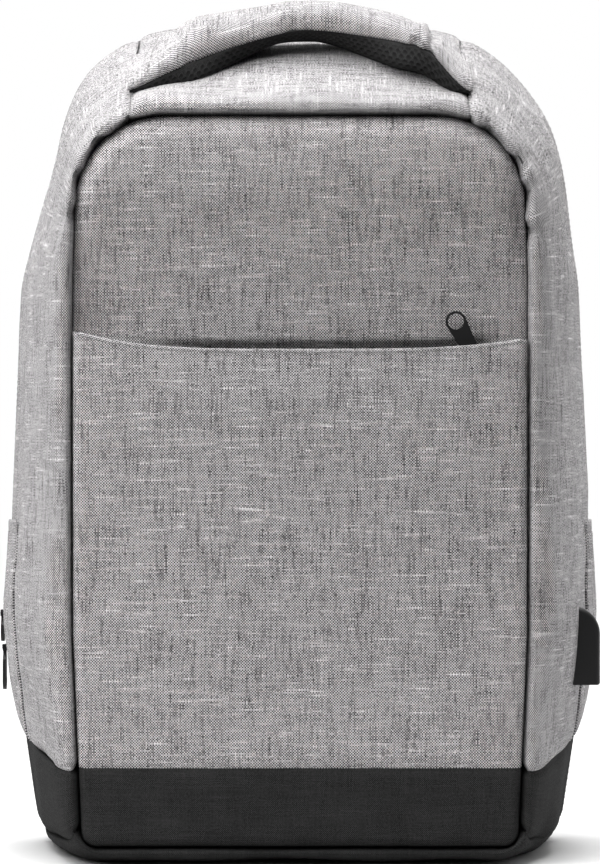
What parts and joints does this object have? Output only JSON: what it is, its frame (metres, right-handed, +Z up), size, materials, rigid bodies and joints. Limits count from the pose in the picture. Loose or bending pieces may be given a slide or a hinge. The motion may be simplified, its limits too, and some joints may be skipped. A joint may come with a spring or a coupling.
{
  "type": "backpack",
  "caption": "Soft day backpack with padded straps, zipped front pocket, side slip pockets, hidden rear main zip and a side USB charging port.",
  "frame": {"origin": "on the floor under the middle of the front shell's base, where the bag stands", "axes": "+Z up; the front pocket faces -Y, the shoulder straps are at +Y, the USB port is at +X"},
  "size_m": [0.3031, 0.166, 0.421],
  "materials": {
    "grey_melange": "melange slub weave",
    "charcoal_fabric": "fine plain weave",
    "binding": "gathered elastic hem",
    "spacer_mesh": "open spacer mesh",
    "webbing": "ribbed webbing",
    "lining": "thin lining",
    "zip_tape": "woven tape",
    "zip_coil": "nylon coil",
    "slider_metal": "black satin",
    "puller_rubber": "matt moulded",
    "black_plastic": "fine spark-eroded matt",
    "tongue_plastic": "smooth",
    "socket_steel": "plated",
    "cable_jacket": "satin",
    "base_board": "board"
  },
  "bodies": {
    "bag": {"gusset_left": "grey_melange", "gusset_right": "grey_melange", "gusset_top": "grey_melange", "front_panel": "grey_melange", "front_pocket_panel": "grey_melange", "handle_root_left": "grey_melange", "handle_root_right": "grey_melange", "side_pocket_left": "grey_melange", "side_pocket_right": "grey_melange", "side_base_left": "charcoal_fabric", "side_base_right": "charcoal_fabric", "base_panel": "charcoal_fabric", "front_base_band": "charcoal_fabric", "hinge_strip": "charcoal_fabric", "pocket_elastic_left": "binding", "pocket_elastic_right": "binding", "battery_pocket": "lining", "cable_keepers": "lining", "pocket_zip_tapes": "zip_tape", "main_zip_tape_front": "zip_tape", "pocket_zip_coil": "zip_coil", "main_zip_coil_front": "zip_coil", "usb_housing": "black_plastic", "usb_socket_carrier": "black_plastic", "usb_backplate": "black_plastic", "usb_plug": "black_plastic", "usb_tongue": "tongue_plastic", "usb_socket": "socket_steel", "usb_screws": "socket_steel", "charging_cable": "cable_jacket", "base_board": "base_board"},
    "pocket_slider": {"pocket_slider": "slider_metal"},
    "pocket_puller": {"pocket_puller": "puller_rubber"},
    "main_slider_lower": {"main_slider_lower": "slider_metal"},
    "main_puller_lower": {"main_puller_lower": "puller_rubber"},
    "main_slider_upper": {"main_slider_upper": "slider_metal"},
    "main_puller_upper": {"main_puller_upper": "puller_rubber"},
    "handle": {"handle_grip": "grey_melange", "handle_mesh": "spacer_mesh"},
    "back_panel": {"rear_gusset": "grey_melange", "back_board": "spacer_mesh", "back_pad_left": "spacer_mesh", "back_pad_right": "spacer_mesh", "trolley_strap": "charcoal_fabric", "corner_tabs": "charcoal_fabric", "strap_anchor_left": "grey_melange", "strap_anchor_right": "grey_melange", "lower_webbing_left": "webbing", "lower_webbing_right": "webbing", "laptop_sleeve": "lining", "main_zip_tape_rear": "zip_tape", "main_zip_coil_rear": "zip_coil"},
    "strap_left": {"shoulder_strap_left": "grey_melange", "ladder_lock_left": "black_plastic", "lock_webbing_left": "webbing"},
    "strap_tail_left": {"strap_tail_left": "webbing"},
    "strap_right": {"shoulder_strap_right": "grey_melange", "ladder_lock_right": "black_plastic", "lock_webbing_right": "webbing"},
    "strap_tail_right": {"strap_tail_right": "webbing"}
  },
  "joints": [
    {"name": "pocket_zip_slide", "type": "slide", "parent": "bag", "child": "pocket_slider", "axis": [1, 0, 0], "range_m": [-0.168, 0.006]},
    {"name": "pocket_puller_turn", "type": "hinge", "parent": "pocket_slider", "child": "pocket_puller", "pos_m": [0.0865, -0.0755, 0.24], "axis": [0, -1, 0], "range_deg": [-38, 110]},
    {"name": "main_zip_lower_slide", "type": "slide", "parent": "bag", "child": "main_slider_lower", "axis": [0.108, 0, -0.9942], "range_m": [0, 0.055]},
    {"name": "main_puller_lower_swing", "type": "hinge", "parent": "main_slider_lower", "child": "main_puller_lower", "pos_m": [-0.15078, 0.04475, 0.09856], "axis": [0, 1, 0], "range_deg": [0, 70]},
    {"name": "main_zip_upper_slide", "type": "slide", "parent": "bag", "child": "main_slider_upper", "axis": [0.04, 0, 0.9992], "range_m": [0, 0.15]},
    {"name": "main_puller_upper_swing", "type": "hinge", "parent": "main_slider_upper", "child": "main_puller_upper", "pos_m": [-0.15176, 0.04475, 0.11616], "axis": [0, 1, 0], "range_deg": [0, 150]},
    {"name": "handle_lift", "type": "slide", "parent": "bag", "child": "handle", "axis": [0, 0, 1], "range_m": [0, 0.018]},
    {"name": "back_panel_open", "type": "hinge", "parent": "bag", "child": "back_panel", "pos_m": [0, 0.052, 0.009], "axis": [-1, 0, 0], "range_deg": [0, 50]},
    {"name": "strap_left_swing", "type": "hinge", "parent": "back_panel", "child": "strap_left", "pos_m": [0, 0.0865, 0.3723], "axis": [1, 0, 0], "range_deg": [0, 10]},
    {"name": "strap_tail_left_slide", "type": "slide", "parent": "strap_left", "child": "strap_tail_left", "axis": [0, 0, 1], "range_m": [-0.01, 0.028]},
    {"name": "strap_right_swing", "type": "hinge", "parent": "back_panel", "child": "strap_right", "pos_m": [0, 0.0865, 0.3723], "axis": [1, 0, 0], "range_deg": [0, 10]},
    {"name": "strap_tail_right_slide", "type": "slide", "parent": "strap_right", "child": "strap_tail_right", "axis": [0, 0, 1], "range_m": [-0.01, 0.028]}
  ]
}
